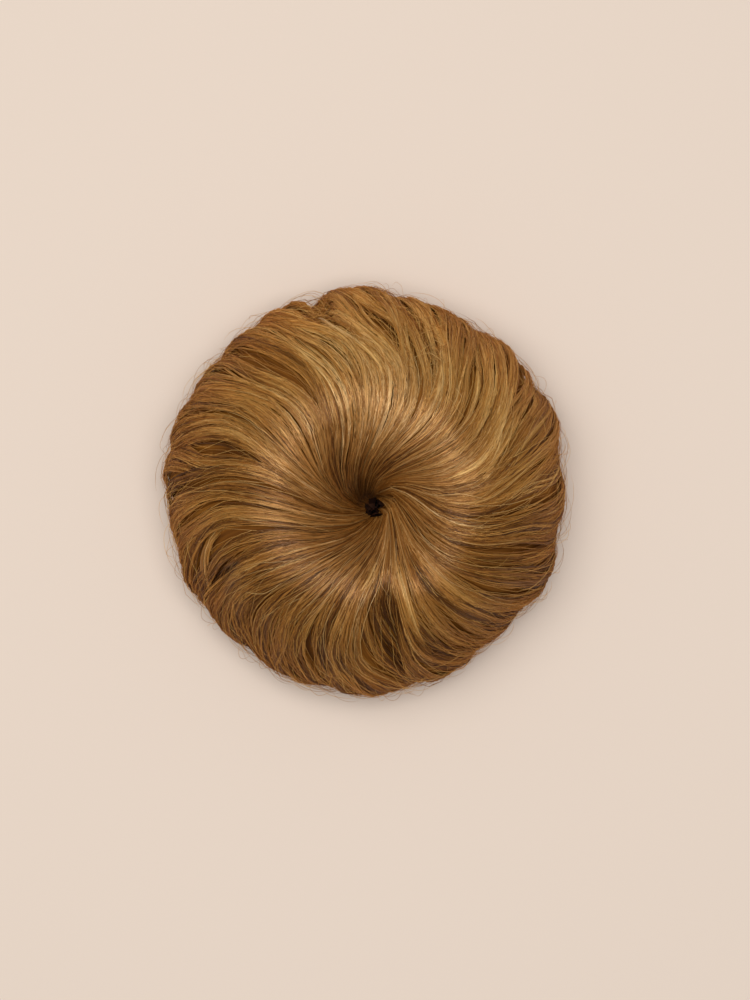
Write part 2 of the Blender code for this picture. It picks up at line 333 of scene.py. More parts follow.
# How far the hair is combed to the left of straight out, in degrees: one row for every 15 degrees round
# the whorl, from +X towards +Y, and one column for each distance from it in metres.
combing_distances = (0.007, 0.012, 0.017, 0.023, 0.030, 0.038, 0.046, 0.054)
combing = (
    (-53, -46, -39, -17, 2, 20, 26, 22),
    (-53, -44, -34, -15, 6, 27, 36, 30),
    (-55, -42, -32, -12, 3, 25, 40, 38),
    (-45, -32, -26, -18, -11, 11, 30, 40),
    (-37, -34, -24, -22, -12, 4, 18, 28),
    (-36, -33, -34, -25, -9, 7, 30, 38),
    (-28, -28, -31, -22, -8, 8, 33, 52),
    (-30, -30, -32, -23, -8, 3, 21, 45),
    (-34, -38, -42, -34, -18, 1, 17, 33),
    (-38, -43, -42, -38, -26, -8, 14, 30),
    (-40, -44, -38, -28, -20, -12, 4, 22),
    (-28, -34, -26, -22, -13, -4, 2, 16),
    (-22, -22, -26, -25, -17, -7, 5, 30),
    (-20, -20, -25, -27, -15, -9, 0, 32),
    (-24, -25, -26, -26, -16, -13, -2, 20),
    (-27, -25, -24, -24, -15, -12, 8, 26),
    (-25, -24, -28, -23, -14, -10, 10, 36),
    (-26, -34, -32, -26, -13, -4, 8, 44),
    (-31, -30, -27, -27, -20, 14, 26, 50),
    (-38, -28, -21, -21, -12, 15, 18, 48),
    (-37, -25, -15, -10, 0, 16, 18, 46),
    (-39, -30, -14, 2, 9, 18, 24, 44),
    (-40, -33, -19, -7, 7, 19, 23, 34),
    (-46, -37, -31, -15, 0, 15, 24, 20),
)
side_turn = math.radians(36.0)
foot_turn = math.radians(6.0)
inward_step = -0.0012
under_step = 0.0015
most_steps = 200
stations = 44


def surface_tree(node):
    merged = bmesh.new()
    merged.from_mesh(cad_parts[node].data)
    bmesh.ops.remove_doubles(merged, verts=merged.verts, dist=0.00001)
    tree = BVHTree.FromBMesh(merged)
    merged.free()
    return tree


dome_surface = surface_tree("hair_dome")


def smooth_normal(point, reach=0.0025):
    """The dome's normal at a point, evened out over the small grooves round it."""
    normal = dome_surface.find_nearest(point)[1]
    first = normal.orthogonal().normalized() * reach
    second = normal.cross(first)
    for way in (first, -first, second, -second):
        normal = normal + dome_surface.find_nearest(point + way)[1]
    return normal.normalized()


def combed_turn(x, y):
    """The turn from straight out, in radians, at a place seen from above."""
    distance = math.hypot(x - whorl_x, y - whorl_y)
    row_place = math.degrees(math.atan2(y - whorl_y, x - whorl_x)) % 360.0 / 15.0
    row = int(row_place)
    share = row_place - row
    near = np.interp(distance, combing_distances, combing[row % len(combing)])
    far = np.interp(distance, combing_distances, combing[(row + 1) % len(combing)])
    return math.radians(near * (1.0 - share) + far * share)


def lay_direction(point, normal):
    """The way the hair runs on the dome: as combed on top, swept round the side, straighter below."""
    top_share = float(smooth_step((normal.z - 0.1) / 0.4))
    centre_x = whorl_x * top_share + axis_x * (1.0 - top_share)
    centre_y = whorl_y * top_share + axis_y * (1.0 - top_share)
    around = Vector((centre_y - point.y, point.x - centre_x, 0.0))
    around = (around - normal * around.dot(normal)).normalized()
    outward = around.cross(normal)
    top_turn = math.atan(math.tan(combed_turn(point.x, point.y)) * max(normal.z, 0.1))
    low_turn = foot_turn + (side_turn - foot_turn) * float(smooth_step(normal.z + 1.0))
    turn = top_turn * top_share + low_turn * (1.0 - top_share)
    return outward * math.cos(turn) + around * math.sin(turn)


def walk(start, step, goes_on):
    """Points on the dome from start along the lay, while goes_on allows."""
    points = []
    point = dome_surface.find_nearest(start)[0]
    while goes_on(point) and len(points) < most_steps:
        points.append(point)
        way = lay_direction(point, smooth_normal(point))
        point = dome_surface.find_nearest(point + way * step)[0]
    return [tuple(point) for point in points]


def spaced(points, count):
    """The same line of points with count points at even steps."""
    lengths = np.concatenate(((0.0,), np.cumsum(np.linalg.norm(np.diff(points, axis=0), axis=1))))
    even = np.linspace(0.0, lengths[-1], count)
    return np.stack([np.interp(even, lengths, values) for values in points.T], axis=-1)


def path_over_dome(rim_angle):
    """One path of evenly spaced points from the whorl over the rim to the inner edge of the foot."""
    start = Vector((
        axis_x + rim_radius * math.cos(rim_angle),
        axis_y + rim_radius * math.sin(rim_angle),
        rim_height))
    inward = walk(
        start, inward_step, lambda point: math.hypot(point.x - hole_x, point.y - hole_y) > hole_radius)
    under = walk(
        start, under_step, lambda point: point.z > 0.001 or
        math.hypot(point.x - axis_x, point.y - axis_y) > cap_radius + 0.0015)
    first = np.array(inward[-1])
    hole = np.array((hole_x, hole_y, hole_bottom))
    from_hole = first - hole
    inward_way = first - np.array(inward[-4])
    inward_way *= dive_reach * math.hypot(*from_hole[:2]) / math.hypot(*inward_way[:2])
    over_lip = max(math.cos(math.atan2(from_hole[1], from_hole[0]) - lip_way), 0.0)
    root = hole + from_hole * (root_spread, root_spread, 0.0) + lip_shift * over_lip
    bend = first + inward_way
    bend[2] = hole[2] + dive_height * from_hole[2]
    dive = [root * (1.0 - share) ** 2 + bend * 2.0 * share * (1.0 - share) + first * share ** 2
            for share in (0.0, 0.2, 0.4, 0.6, 0.8)]
    return spaced(np.array(dive + inward[::-1] + under[1:]), stations)


bundle_count = 210
lay_random = np.random.default_rng(7)
bundle_widths = lay_random.uniform(0.55, 1.45, bundle_count)
bundle_edges = np.concatenate(((0.0,), np.cumsum(bundle_widths))) * 360.0 / bundle_widths.sum()
bundle_angles = 0.5 * (bundle_edges[1:] + bundle_edges[:-1])
lay_points = np.array([path_over_dome(math.radians(angle)) for angle in bundle_angles])
lay_points = sum(np.roll(lay_points, shift, axis=0) * (3 - abs(shift)) for shift in range(-2, 3)) / 9.0
lay_share = np.linspace(0.0, 1.0, stations)


def unit(vectors):
    return vectors / np.maximum(np.linalg.norm(vectors, axis=-1, keepdims=True), 1e-9)


lay_forward = unit(np.gradient(lay_points, axis=1))
lay_across = 0.5 * (np.roll(lay_points, -1, axis=0) - np.roll(lay_points, 1, axis=0))
lay_across -= lay_forward * (lay_across * lay_forward).sum(axis=-1, keepdims=True)
lay_up = unit(np.cross(lay_forward, lay_across))
lay_half_gap = 0.5 * np.linalg.norm(lay_across, axis=-1)
lay_side = np.cross(lay_up, lay_forward)
lay_along = np.tile(lay_share, (bundle_count, 1))


def slow_noise(rows, columns, knots, random):
    """Smooth random values from -1 to 1 along each row, different from row to row."""
    values = random.uniform(-1.0, 1.0, (rows, knots))
    places = np.linspace(0.0, knots - 1.0, columns)
    low = np.minimum(places.astype(int), knots - 2)
    share = smooth_step(places - low)
    return values[:, low] * (1.0 - share) + values[:, low + 1] * share


# Tufts. Neighbouring hairs cling together in tufts 4 to 8 mm wide, which sway, stand up in the middle,
# and draw in towards the rim, so that one tuft lies over the next and dark gaps show between.
tuft_count = 52
sway_reach = 0.0032
tuft_rise_height = 0.0009
tuft_crown_height = 0.0008
tuft_draw = 0.20
bundle_drift_share = 0.9
bundle_rise_height = 0.00055
bundle_depth = 0.0006
tuft_widths = lay_random.uniform(0.6, 1.5, tuft_count)
tuft_edges = np.concatenate(((0.0,), np.cumsum(tuft_widths))) * 360.0 / tuft_widths.sum()
tuft_of_bundle = np.searchsorted(tuft_edges, bundle_angles, side="right") - 1
tuft_middle = 0.5 * (tuft_edges[1:] + tuft_edges[:-1])[tuft_of_bundle]
tuft_half = 0.5 * np.diff(tuft_edges)[tuft_of_bundle]
tuft_place = (bundle_angles - tuft_middle) / tuft_half
tuft_sway = slow_noise(tuft_count, stations, 5, lay_random)[tuft_of_bundle] * sway_reach
tuft_rise = slow_noise(tuft_count, stations, 6, lay_random)[tuft_of_bundle] * tuft_rise_height
loosening = smooth_step((lay_share - 0.12) / 0.45)
calmer_rim = 1.0 - 0.55 * smooth_step((lay_share - 0.45) / 0.2)
settling = 1.0 - smooth_step((lay_share - 0.72) / 0.2)
out_of_well = smooth_step(lay_share / 0.14)
lay_radius = np.hypot(lay_points[..., 0] - axis_x, lay_points[..., 1] - axis_y)
tuft_offset = np.radians(bundle_angles - tuft_middle)[:, None] * lay_radius
tuft_crown = (1.0 - tuft_place ** 2)[:, None] * tuft_crown_height * (0.35 + 0.65 * settling) * calmer_rim
bundle_drift = slow_noise(bundle_count, stations, 7, lay_random) * lay_half_gap * bundle_drift_share
bundle_rise = slow_noise(bundle_count, stations, 7, lay_random) * bundle_rise_height
side_shift = loosening * tuft_sway * (0.4 + 0.6 * settling)
side_shift = side_shift - tuft_draw * loosening * tuft_offset + bundle_drift
up_shift = loosening * (tuft_crown + tuft_rise * calmer_rim) + bundle_rise - bundle_depth
up_shift = up_shift * (0.15 + 0.85 * settling) * out_of_well
bundle_points = lay_points + lay_side * side_shift[..., None] + lay_up * up_shift[..., None]

# Partings and raised locks, each at a place seen from above: x, y, the way it runs in degrees, half its
# length, half its width, how far its hair is raised, how far it is pushed aside, and its change of tone:
# painted shade where the hair sinks, and a painted highlight where it is raised.
partings = (
    (0.0083, -0.0440, 274, 0.0125, 0.0026, -0.0034, 0.0018, -0.36),
    (0.0075, -0.0018, 170, 0.0045, 0.0008, -0.0006, 0.0, -0.34),
    (-0.0004, -0.0048, 178, 0.0032, 0.0009, -0.0003, 0.0, -0.30),
    (0.0010, -0.0290, 248, 0.0070, 0.0010, -0.0010, 0.0006, -0.20),
    (0.0170, -0.0270, 302, 0.0095, 0.0018, -0.0014, 0.0007, -0.22),
    (-0.0015, -0.0330, 232, 0.0080, 0.0016, 0.0012, 0.0, 0.16),
    (0.0075, -0.0220, 272, 0.0080, 0.0015, 0.0010, 0.0, 0.16),
    (0.0225, 0.0480, 98, 0.0050, 0.0016, -0.0030, 0.0010, -0.30),
    (0.0350, 0.0200, 72, 0.0120, 0.0026, -0.0008, 0.0, -0.14),
    (0.0440, 0.0215, 78, 0.0170, 0.0013, 0.0014, -0.0006, 0.22),
    (-0.0485, -0.0270, 212, 0.0080, 0.0022, -0.0024, 0.0010, -0.22),
    (-0.0430, -0.0010, 196, 0.0110, 0.0024, -0.0010, 0.0004, -0.18),
    (-0.0450, 0.0130, 170, 0.0080, 0.0026, -0.0006, 0.0, -0.14),
    (-0.0168, 0.0610, 112, 0.0085, 0.0024, -0.0070, 0.0016, -0.22),
    (0.0500, -0.0080, 10, 0.0120, 0.0030, -0.0006, 0.0, -0.12),
    (0.0470, -0.0240, 352, 0.0120, 0.0020, -0.0008, 0.0, -0.12),
    (-0.0130, -0.0430, 250, 0.0120, 0.0020, -0.0008, 0.0003, -0.12),
    (0.0040, 0.0590, 80, 0.0050, 0.0022, -0.0016, 0.0008, -0.18),
)
# Tone painted into the partings: shade where the hair sinks, highlight where it is raised.
parting_shade_and_highlight = np.zeros((bundle_count, stations))
facing_up = smooth_step((lay_up[..., 2] + 0.4) / 0.4)
for x, y, way, half_length, half_width, raised, pushed, change in partings:
    along_way = np.array((math.cos(math.radians(way)), math.sin(math.radians(way))))
    from_middle = lay_points[..., :2] - (x, y)
    far_along = from_middle @ along_way / half_length
    far_aside = from_middle @ (-along_way[1], along_way[0]) / half_width
    nearness = np.exp(-far_along ** 4 - far_aside ** 2) * facing_up
    aside_push = np.exp(-far_along ** 4) * far_aside * np.exp(-0.5 * far_aside ** 2) * facing_up * pushed
    aside = np.array((-along_way[1], along_way[0], 0.0))
    bundle_points += lay_up * (nearness * raised)[..., None] + aside * aside_push[..., None]
    parting_shade_and_highlight += nearness * change
floor_room = 0.0005
bundle_points[..., 2] = np.maximum(bundle_points[..., 2], floor_room)


# Under-hair. The short inner hair that fills the dome and shows dark between the long locks, where its low
# tones are painted shade for the gaps.
# One closed form just below the surface, with a ridge for each bundle of hair that lies on it.
under_depth = 0.0010
under_groove = 0.0005
well_depth = 1.8
foot_height = 0.0012
cavity_gap = 0.0003
cavity_rows = 7
crown_height = cap_height + 0.0005
crown_reach = 0.012
first_mark = 0.002
mark_span = 0.99


def hair_colour_group():
    """Golden brown by a tone from 0 to 1, with painted shade on the roots deep in the whorl, painted less
    yellow over the crest towards the colour of its highlight, and redder under the rim.
    """
    group = bpy.data.node_groups.new("hair_colour", "ShaderNodeTree")
    group.interface.new_socket("Tone", in_out="INPUT", socket_type="NodeSocketFloat")
    group.interface.new_socket("Along", in_out="INPUT", socket_type="NodeSocketFloat")
    group.interface.new_socket("Color", in_out="OUTPUT", socket_type="NodeSocketColor")
    given = group.nodes.new("NodeGroupInput").outputs
    tones = colour_ramp(
        group, given["Tone"],
        (0.00, (0.080, 0.026, 0.004)),
        (0.25, (0.196, 0.070, 0.010)),
        (0.50, (0.435, 0.184, 0.036)),
        (0.78, (0.680, 0.375, 0.115)),
        (1.00, (0.860, 0.590, 0.280)))
    # Along the hair: painted shade darkens the roots deep in the whorl, and the crest is painted less
    # yellow, towards the colour of its highlight there; under the rim the hair is redder.
    length = colour_ramp(
        group, given["Along"],
        (0.024, (0.06, 0.035, 0.02)),
        (0.056, (0.47, 0.39, 0.29)),
        (0.11, (0.75, 0.68, 0.58)),
        (0.26, (0.98, 0.97, 1.00)),
        (0.48, (1.00, 0.99, 0.80)),
        (0.60, (1.00, 0.91, 0.62)),
        (0.75, (0.96, 0.76, 0.42)))
    mix = add_node(
        group, "ShaderNodeMix", {"Factor": 1.0, "A": tones, "B": length},
        data_type="RGBA", blend_type="MULTIPLY")
    add_node(group, "NodeGroupOutput", {"Color": mix.outputs["Result"]})
    return group


hair_colour = hair_colour_group()

under_material, under_tree, under_shader = new_material("inner_hair")
under_map = add_node(under_tree, "ShaderNodeUVMap", uv_map="OFBake").outputs["UV"]
under_parts = add_node(under_tree, "ShaderNodeSeparateXYZ", {"Vector": under_map})
under_stretch = add_node(under_tree, "ShaderNodeMapping", {"Vector": under_map, "Scale": (4.0, 700.0, 1.0)})
under_streaks = add_node(
    under_tree, "ShaderNodeTexNoise",
    {"Vector": under_stretch.outputs["Vector"], "Scale": 1.0, "Detail": 3.0}).outputs["Fac"]
# Streaks of inner hair in low tones only, kept dark as painted shade between the locks.
under_tone_and_painted_shade = add_node(
    under_tree, "ShaderNodeMapRange",
    {"Value": under_streaks, "From Min": 0.3, "From Max": 0.7, "To Min": 0.0, "To Max": 0.50})
under_colour = add_node(
    under_tree, "ShaderNodeGroup",
    {"Tone": under_tone_and_painted_shade.outputs["Result"], "Along": under_parts.outputs["X"]}, node_tree=hair_colour)
under_bump = add_node(
    under_tree, "ShaderNodeBump", {"Height": under_streaks, "Strength": 0.6, "Distance": 0.0003})
feed(under_tree, under_shader, {
    "Base Color": under_colour.outputs["Color"],
    "Normal": under_bump.outputs["Normal"],
    "Roughness": 0.75,
    "Specular IOR Level": 0.1,
})


def under_hair_rings():
    """Rings of points from the whorl to the foot, then up the cavity that the cap fills."""
    columns = 2 * bundle_count
    between = 0.5 * (bundle_points + np.roll(bundle_points, -1, axis=0))
    between_up = unit(lay_up + np.roll(lay_up, -1, axis=0))
    in_well = 1.0 - smooth_step(lay_share / 0.08)
    depth_share = (0.35 + 0.65 * settling + well_depth * in_well)[:, None]
    grid = np.empty((columns, stations, 3))
    grid[0::2] = bundle_points - lay_up * under_depth * depth_share
    grid[1::2] = between - between_up * (under_depth + under_groove) * depth_share
    grid[..., 2] = np.maximum(grid[..., 2], foot_height)
    over_crown = np.hypot(grid[..., 0] - axis_x, grid[..., 1] - axis_y) < crown_reach
    grid[..., 2] = np.where(over_crown, np.maximum(grid[..., 2], crown_height), grid[..., 2])
    outward = np.arctan2(grid[:, -1, 1] - axis_y, grid[:, -1, 0] - axis_x)
    rings = [grid[:, station] for station in range(stations)]
    for step in range(-1, cavity_rows):
        turn = 0.5 * math.pi * max(step, 0) / cavity_rows
        radius, height = dome_point(cap_radius + cavity_gap, cap_height + cavity_gap, turn)
        rings.append(np.stack((
            axis_x + radius * np.cos(outward),
            axis_y + radius * np.sin(outward),
            np.full(columns, height if step >= 0 else foot_height)), axis=-1))
    return rings


def under_hair_mesh():
    """One closed form of the rings, mapped by how far along the hair and how far round a place is."""
    form = bmesh.new()
    map_layer = form.loops.layers.uv.new("OFBake")
    rows = [[form.verts.new(point) for point in ring] for ring in under_hair_rings()]
    well = form.verts.new((hole_x, hole_y, crown_height))
    crown = form.verts.new((axis_x, axis_y, cap_height + cavity_gap))
    count = len(rows)
    columns = len(rows[0])
    for number in range(count + 1):
        high = first_mark + mark_span * number / count
        low = high - mark_span / count
        for place in range(columns):
            after = (place + 1) % columns
            if number == 0:
                corners = (well, rows[0][place], rows[0][after])
                marks = ((0.0, place + 0.5), (first_mark, place), (first_mark, place + 1))
            elif number == count:
                corners = (rows[-1][place], crown, rows[-1][after])
                marks = ((low, place), (high, place + 0.5), (low, place + 1))
            else:
                inner, outer = rows[number - 1], rows[number]
                corners = (inner[place], outer[place], outer[after], inner[after])
                marks = ((low, place), (high, place), (high, place + 1), (low, place + 1))
            face = form.faces.new(corners)
            for loop, (along, around) in zip(face.loops, marks):
                loop[map_layer].uv = (along, around / columns)
    return mesh_of(form, "under_hair")


finished_piece("under_hair", under_hair_mesh(), under_material, "hair_dome")


# Long locks. The hair that is seen: thousands of single hairs in narrow bundles that cross a little,
# each one sewn in at the whorl or further out, and combed over the crest and under the rim.
strand_material, strand_shading, strand_shader = new_material("golden_brown_hair")
strand_map = add_node(strand_shading, "ShaderNodeUVMap", uv_map="OFBake").outputs["UV"]
strand_parts = add_node(strand_shading, "ShaderNodeSeparateXYZ", {"Vector": strand_map}).outputs
strand_colour = add_node(
    strand_shading, "ShaderNodeGroup", {"Along": strand_parts["X"], "Tone": strand_parts["Y"]},
    node_tree=hair_colour)
strand_dullness = add_node(
    strand_shading, "ShaderNodeMapRange",
    {"Value": strand_parts["X"], "From Min": 0.42, "From Max": 0.62, "To Min": 0.28, "To Max": 0.60})
feed(strand_shading, strand_shader, {
    "Base Color": strand_colour.outputs["Color"],
    "Roughness": strand_dullness.outputs["Result"],
    "Metallic": 0.22,
    "Specular IOR Level": 0.8,
    "Specular Tint": (1.0, 0.86, 0.70, 1.0),
})

strand_inputs = (
    ("Hairs per path", "Int", 35),
    ("Hairs per wisp", "Int", 5),
    ("Wisp width", "Float", 0.0005),
    ("Hair width", "Float", 0.00022),
    ("Spread", "Float", 1.15),
    ("Crossing", "Float", 0.0038),
    ("Straying", "Float", 0.0013),
    ("Crown", "Float", 0.0005),
    ("Lift", "Float", 0.0009),
    ("Frizz", "Float", 0.0006),
    ("Earliest start", "Float", 0.04),
    ("Latest start", "Float", 0.34),
    ("Early share", "Float", 0.35),
    ("Earliest end", "Float", 0.86),
    ("Root depth", "Float", 0.0012),
    ("Points", "Int", 19),
    ("Tone spread", "Float", 0.44),
    ("Seed", "Int", 1),
    ("Hair", "Material", None),
)


def strand_tree():
    """Grows hairs along each edge path."""
    tree, given, fields = new_geometry_tree("grow_hairs", strand_inputs)
    total, product = fields.total, fields.product

    def named(name, kind="FLOAT"):
        node = add_node(tree, "GeometryNodeInputNamedAttribute", {"Name": name}, data_type=kind)
        return node.outputs["Attribute"]

    def eased(*inputs):
        """A smooth step, by value, start, end, low and high."""
        node = add_node(
            tree, "ShaderNodeMapRange", dict(enumerate(inputs)), interpolation_type="SMOOTHSTEP")
        return node.outputs["Result"]

    def each(low, high, offset, owner=None):
        """A random number for each hair, or for each owner, which is a wisp of hairs."""
        seed = total(given["Seed"], float(offset))
        inputs = {2: low, 3: high, "ID": owner or fields.index(), "Seed": seed}
        return add_node(tree, "FunctionNodeRandomValue", inputs, data_type="FLOAT").outputs[1]

    def waves(rate, own_place):
        """Smooth random waves along each hair, each about -0.5 to 0.5."""
        place = fields.combined(product(along, rate), own_place, 0.0)
        noise = add_node(
            tree, "ShaderNodeTexNoise", {"Vector": place, "Scale": 1.0, "Detail": 0.0},
            noise_dimensions="2D")
        middled = fields.vector("SUBTRACT", {0: noise.outputs["Color"], 1: (0.5, 0.5, 0.5)})
        return add_node(tree, "ShaderNodeSeparateXYZ", {"Vector": middled}).outputs

    def captured(geometry, domain, values):
        """Keep values as they are at this point, each under its name; returns them with the geometry."""
        node = add_node(tree, "GeometryNodeCaptureAttribute", {"Geometry": geometry}, domain=domain)
        for name, value in values.items():
            node.capture_items.new("FLOAT", name)
            feed(tree, node, {name: value})
        return node.outputs

    along = named("along")
    wisp = fields.number("FLOOR", fields.number("DIVIDE", fields.index(), given["Hairs per wisp"]))
    paths = add_node(tree, "GeometryNodeMeshToCurve", {"Mesh": given["Geometry"]})
    copies = add_node(
        tree, "GeometryNodeDuplicateElements",
        {"Geometry": paths.outputs["Curve"], "Amount": given["Hairs per path"]}, domain="SPLINE")
    late = fields.number("GREATER_THAN", each(0.0, 1.0, 1), given["Early share"])
    late_start = each(given["Earliest start"], given["Latest start"], 2)
    height = total(each(0.0, 0.75, 6, wisp), each(0.0, 0.25, 14))
    hair = captured(copies.outputs["Geometry"], "CURVE", {
        "Start": product(late_start, late),
        "End": each(given["Earliest end"], 1.10, 4),
        "Place": each(-1.0, 1.0, 3, wisp),
        "In wisp": each(-0.5, 0.5, 12),
        "Height": product(height, height),
        "Width": each(0.7, 1.2, 7),
        "Own tone": total(each(-0.45, 0.45, 8, wisp), each(-0.45, 0.45, 15, wisp), each(-0.35, 0.35, 9)),
        "Wisp wave": each(0.0, 900.0, 10, wisp),
        "Wave": each(0.0, 900.0, 13),
    })

    # Each hair is offset to its place in the bundle and the wisp, drifts from it, and is a little frizzy.
    slow = waves(2.6, hair["Wisp wave"])
    drift = waves(3.4, hair["Wave"])
    quick = waves(11.0, hair["Wave"])
    loose = eased(along, 0.03, 0.45, 0.04, 1.0)
    frizz = product(given["Frizz"], eased(along, 0.15, 0.62, 0.15, 1.0))
    crown = fields.number("SUBTRACT", 1.0, product(hair["Place"], hair["Place"]))
    side_step = total(
        product(hair["Place"], given["Spread"], named("half_gap")),
        product(hair["In wisp"], given["Wisp width"]),
        product(slow["X"], given["Crossing"], loose),
        product(drift["X"], given["Straying"], loose),
        product(quick["X"], frizz))
    up_step = total(
        product(crown, given["Crown"]),
        product(hair["Height"], given["Lift"]),
        product(quick["Y"], frizz))
    up_way = named("up", "FLOAT_VECTOR")
    step = fields.vector("ADD", {
        0: fields.vector("SCALE", {0: named("side", "FLOAT_VECTOR"), "Scale": side_step}),
        1: fields.vector("SCALE", {0: up_way, "Scale": product(up_step, named("room"))}),
    })
    smooth = add_node(
        tree, "GeometryNodeCurveSplineType", {"Curve": fields.moved(hair["Geometry"], step)},
        spline_type="CATMULL_ROM")
    cut = add_node(
        tree, "GeometryNodeTrimCurve",
        {"Curve": smooth.outputs["Curve"], "Start": hair["Start"],
         "End": fields.number("MINIMUM", hair["End"], 1.0)}, mode="FACTOR")
    length_share = fields.number("SUBTRACT", 1.0, product(hair["Start"], 0.9))
    even = add_node(
        tree, "GeometryNodeResampleCurve",
        {"Curve": cut.outputs["Curve"], "Count": product(given["Points"], length_share)}, mode="COUNT")

    # The root goes down into the hair below, except in the whorl, and the end tapers.
    own = add_node(tree, "GeometryNodeSplineParameter").outputs["Factor"]
    out_of_whorl = eased(along, 0.03, 0.10, 0.0, 1.0)
    buried = product(eased(own, 0.0, 0.16, -1.0, 0.0), out_of_whorl, given["Root depth"])
    sunk = fields.moved(even.outputs["Curve"], fields.vector("SCALE", {0: up_way, "Scale": buried}))
    tone = total(named("tone"), product(hair["Own tone"], given["Tone spread"]))
    kept = captured(sunk, "POINT", {
        "Along": along,
        "Tone": fields.number("MINIMUM", fields.number("MAXIMUM", tone, 0.01), 0.98),
    })
    ring = add_node(tree, "GeometryNodeCurvePrimitiveCircle", {"Resolution": 3, "Radius": 0.5})
    round_place = add_node(tree, "GeometryNodeSplineParameter").outputs["Factor"]
    ring_kept = captured(ring.outputs["Curve"], "POINT", {"Round": round_place})
    skin = add_node(tree, "GeometryNodeCurveToMesh", {
        "Curve": kept["Geometry"],
        "Profile Curve": ring_kept["Geometry"],
        "Fill Caps": True,
        "Scale": product(given["Hair width"], hair["Width"], eased(own, 0.75, 1.0, 1.0, 0.35)),
    })

    # The map says how far along the lay a place is, and its tone with a narrow band for the way round.
    band = product(ring_kept["Round"], 0.01)
    mapped = add_node(
        tree, "GeometryNodeStoreNamedAttribute",
        {"Geometry": skin.outputs["Mesh"], "Name": "OFBake",
         "Value": fields.combined(kept["Along"], total(kept["Tone"], band), 0.0)},
        data_type="FLOAT2", domain="CORNER")
    finish_geometry_tree(tree, mapped.outputs["Geometry"], given["Hair"])
    return tree


grow_hairs = strand_tree()
path_layers = (
    ("side", "FLOAT_VECTOR"),
    ("up", "FLOAT_VECTOR"),
    ("half_gap", "FLOAT"),
    ("along", "FLOAT"),
    ("room", "FLOAT"),
    ("tone", "FLOAT"),
)


def hair_piece(name, points, layers, **settings):
    """Grow hairs on rows of points, as one plain mesh that is a piece of the part."""
    count, length = points.shape[:2]
    mesh = bpy.data.meshes.new(name + "_paths")
    numbers = np.arange(count * length).reshape(count, length)
    edges = np.stack((numbers[:, :-1], numbers[:, 1:]), axis=-1).reshape(-1, 2)
    mesh.from_pydata(points.reshape(-1, 3).tolist(), edges.tolist(), [])
    for title, kind in path_layers:
        layer = mesh.attributes.new(title, kind, "POINT")
        field = "vector" if kind == "FLOAT_VECTOR" else "value"
        layer.data.foreach_set(field, np.ascontiguousarray(layers[title], dtype=np.float32).ravel())
    settings["Hair"] = strand_material
    grown = made_by(grow_hairs, name, mesh, settings)
    for title, kind in path_layers:
        if title in grown.attributes:
            grown.attributes.remove(grown.attributes[title])
    finished_piece(name, grown, strand_material, "hair_dome")


lay_room = np.tile((0.12 + 0.88 * settling) * out_of_well, (bundle_count, 1))
tuft_tone = np.clip(lay_random.normal(0.0, 0.05, tuft_count), -0.1, 0.1)[tuft_of_bundle]
bundle_tone = np.clip(lay_random.normal(0.45, 0.07, bundle_count) + tuft_tone, 0.2, 0.8)

# Painted light and shade: the hair's tone is painted lighter on the upper side, as if lit from there, and a
# little darker elsewhere; painted shade keeps it dark for longer in the well's upper left, and hardly dark
# on its lit lip. The ways are measured from +X towards +Y, as seen from above.
light_way = math.radians(76.0)
shaded_way = math.radians(128.0)
from_whorl_x = bundle_points[..., 0] - whorl_x
from_whorl_y = bundle_points[..., 1] - whorl_y
whorl_distance = np.hypot(from_whorl_x, from_whorl_y)
whorl_direction = np.arctan2(from_whorl_y, from_whorl_x)
light_side = np.maximum(np.cos(whorl_direction - light_way), 0.0) ** 1.3
light_slope = 0.31 + 0.11 * smooth_step((whorl_distance - 0.035) / 0.015)
painted_light_tone = (light_slope * light_side - 0.05) * smooth_step((whorl_distance - 0.014) / 0.014)
shaded_wall = np.maximum(np.cos(whorl_direction - shaded_way), 0.0) ** 1.3
shaded_wall *= smooth_step((0.025 - whorl_distance) / 0.012)
lit_lip = np.maximum(np.cos(whorl_direction - lip_way), 0.0)
lit_lip *= smooth_step((0.012 - whorl_distance) / 0.008)
shade_along = lay_along * (1.0 - 0.60 * shaded_wall) + 0.06 * lit_lip

bundle_layers = {
    "side": lay_side,
    "up": lay_up,
    "half_gap": lay_half_gap,
    "along": shade_along,
    "room": lay_room,
    "tone": bundle_tone[:, None] + parting_shade_and_highlight + painted_light_tone,
}
lock_groups = 6
per_group = bundle_count // lock_groups
for group in range(lock_groups):
    chosen = slice(group * per_group, (group + 1) * per_group)
    layers = {title: values[chosen] for title, values in bundle_layers.items()}
    hair_piece(f"long_locks_{group + 1}", bundle_points[chosen], layers, Seed=100 * (group + 1))


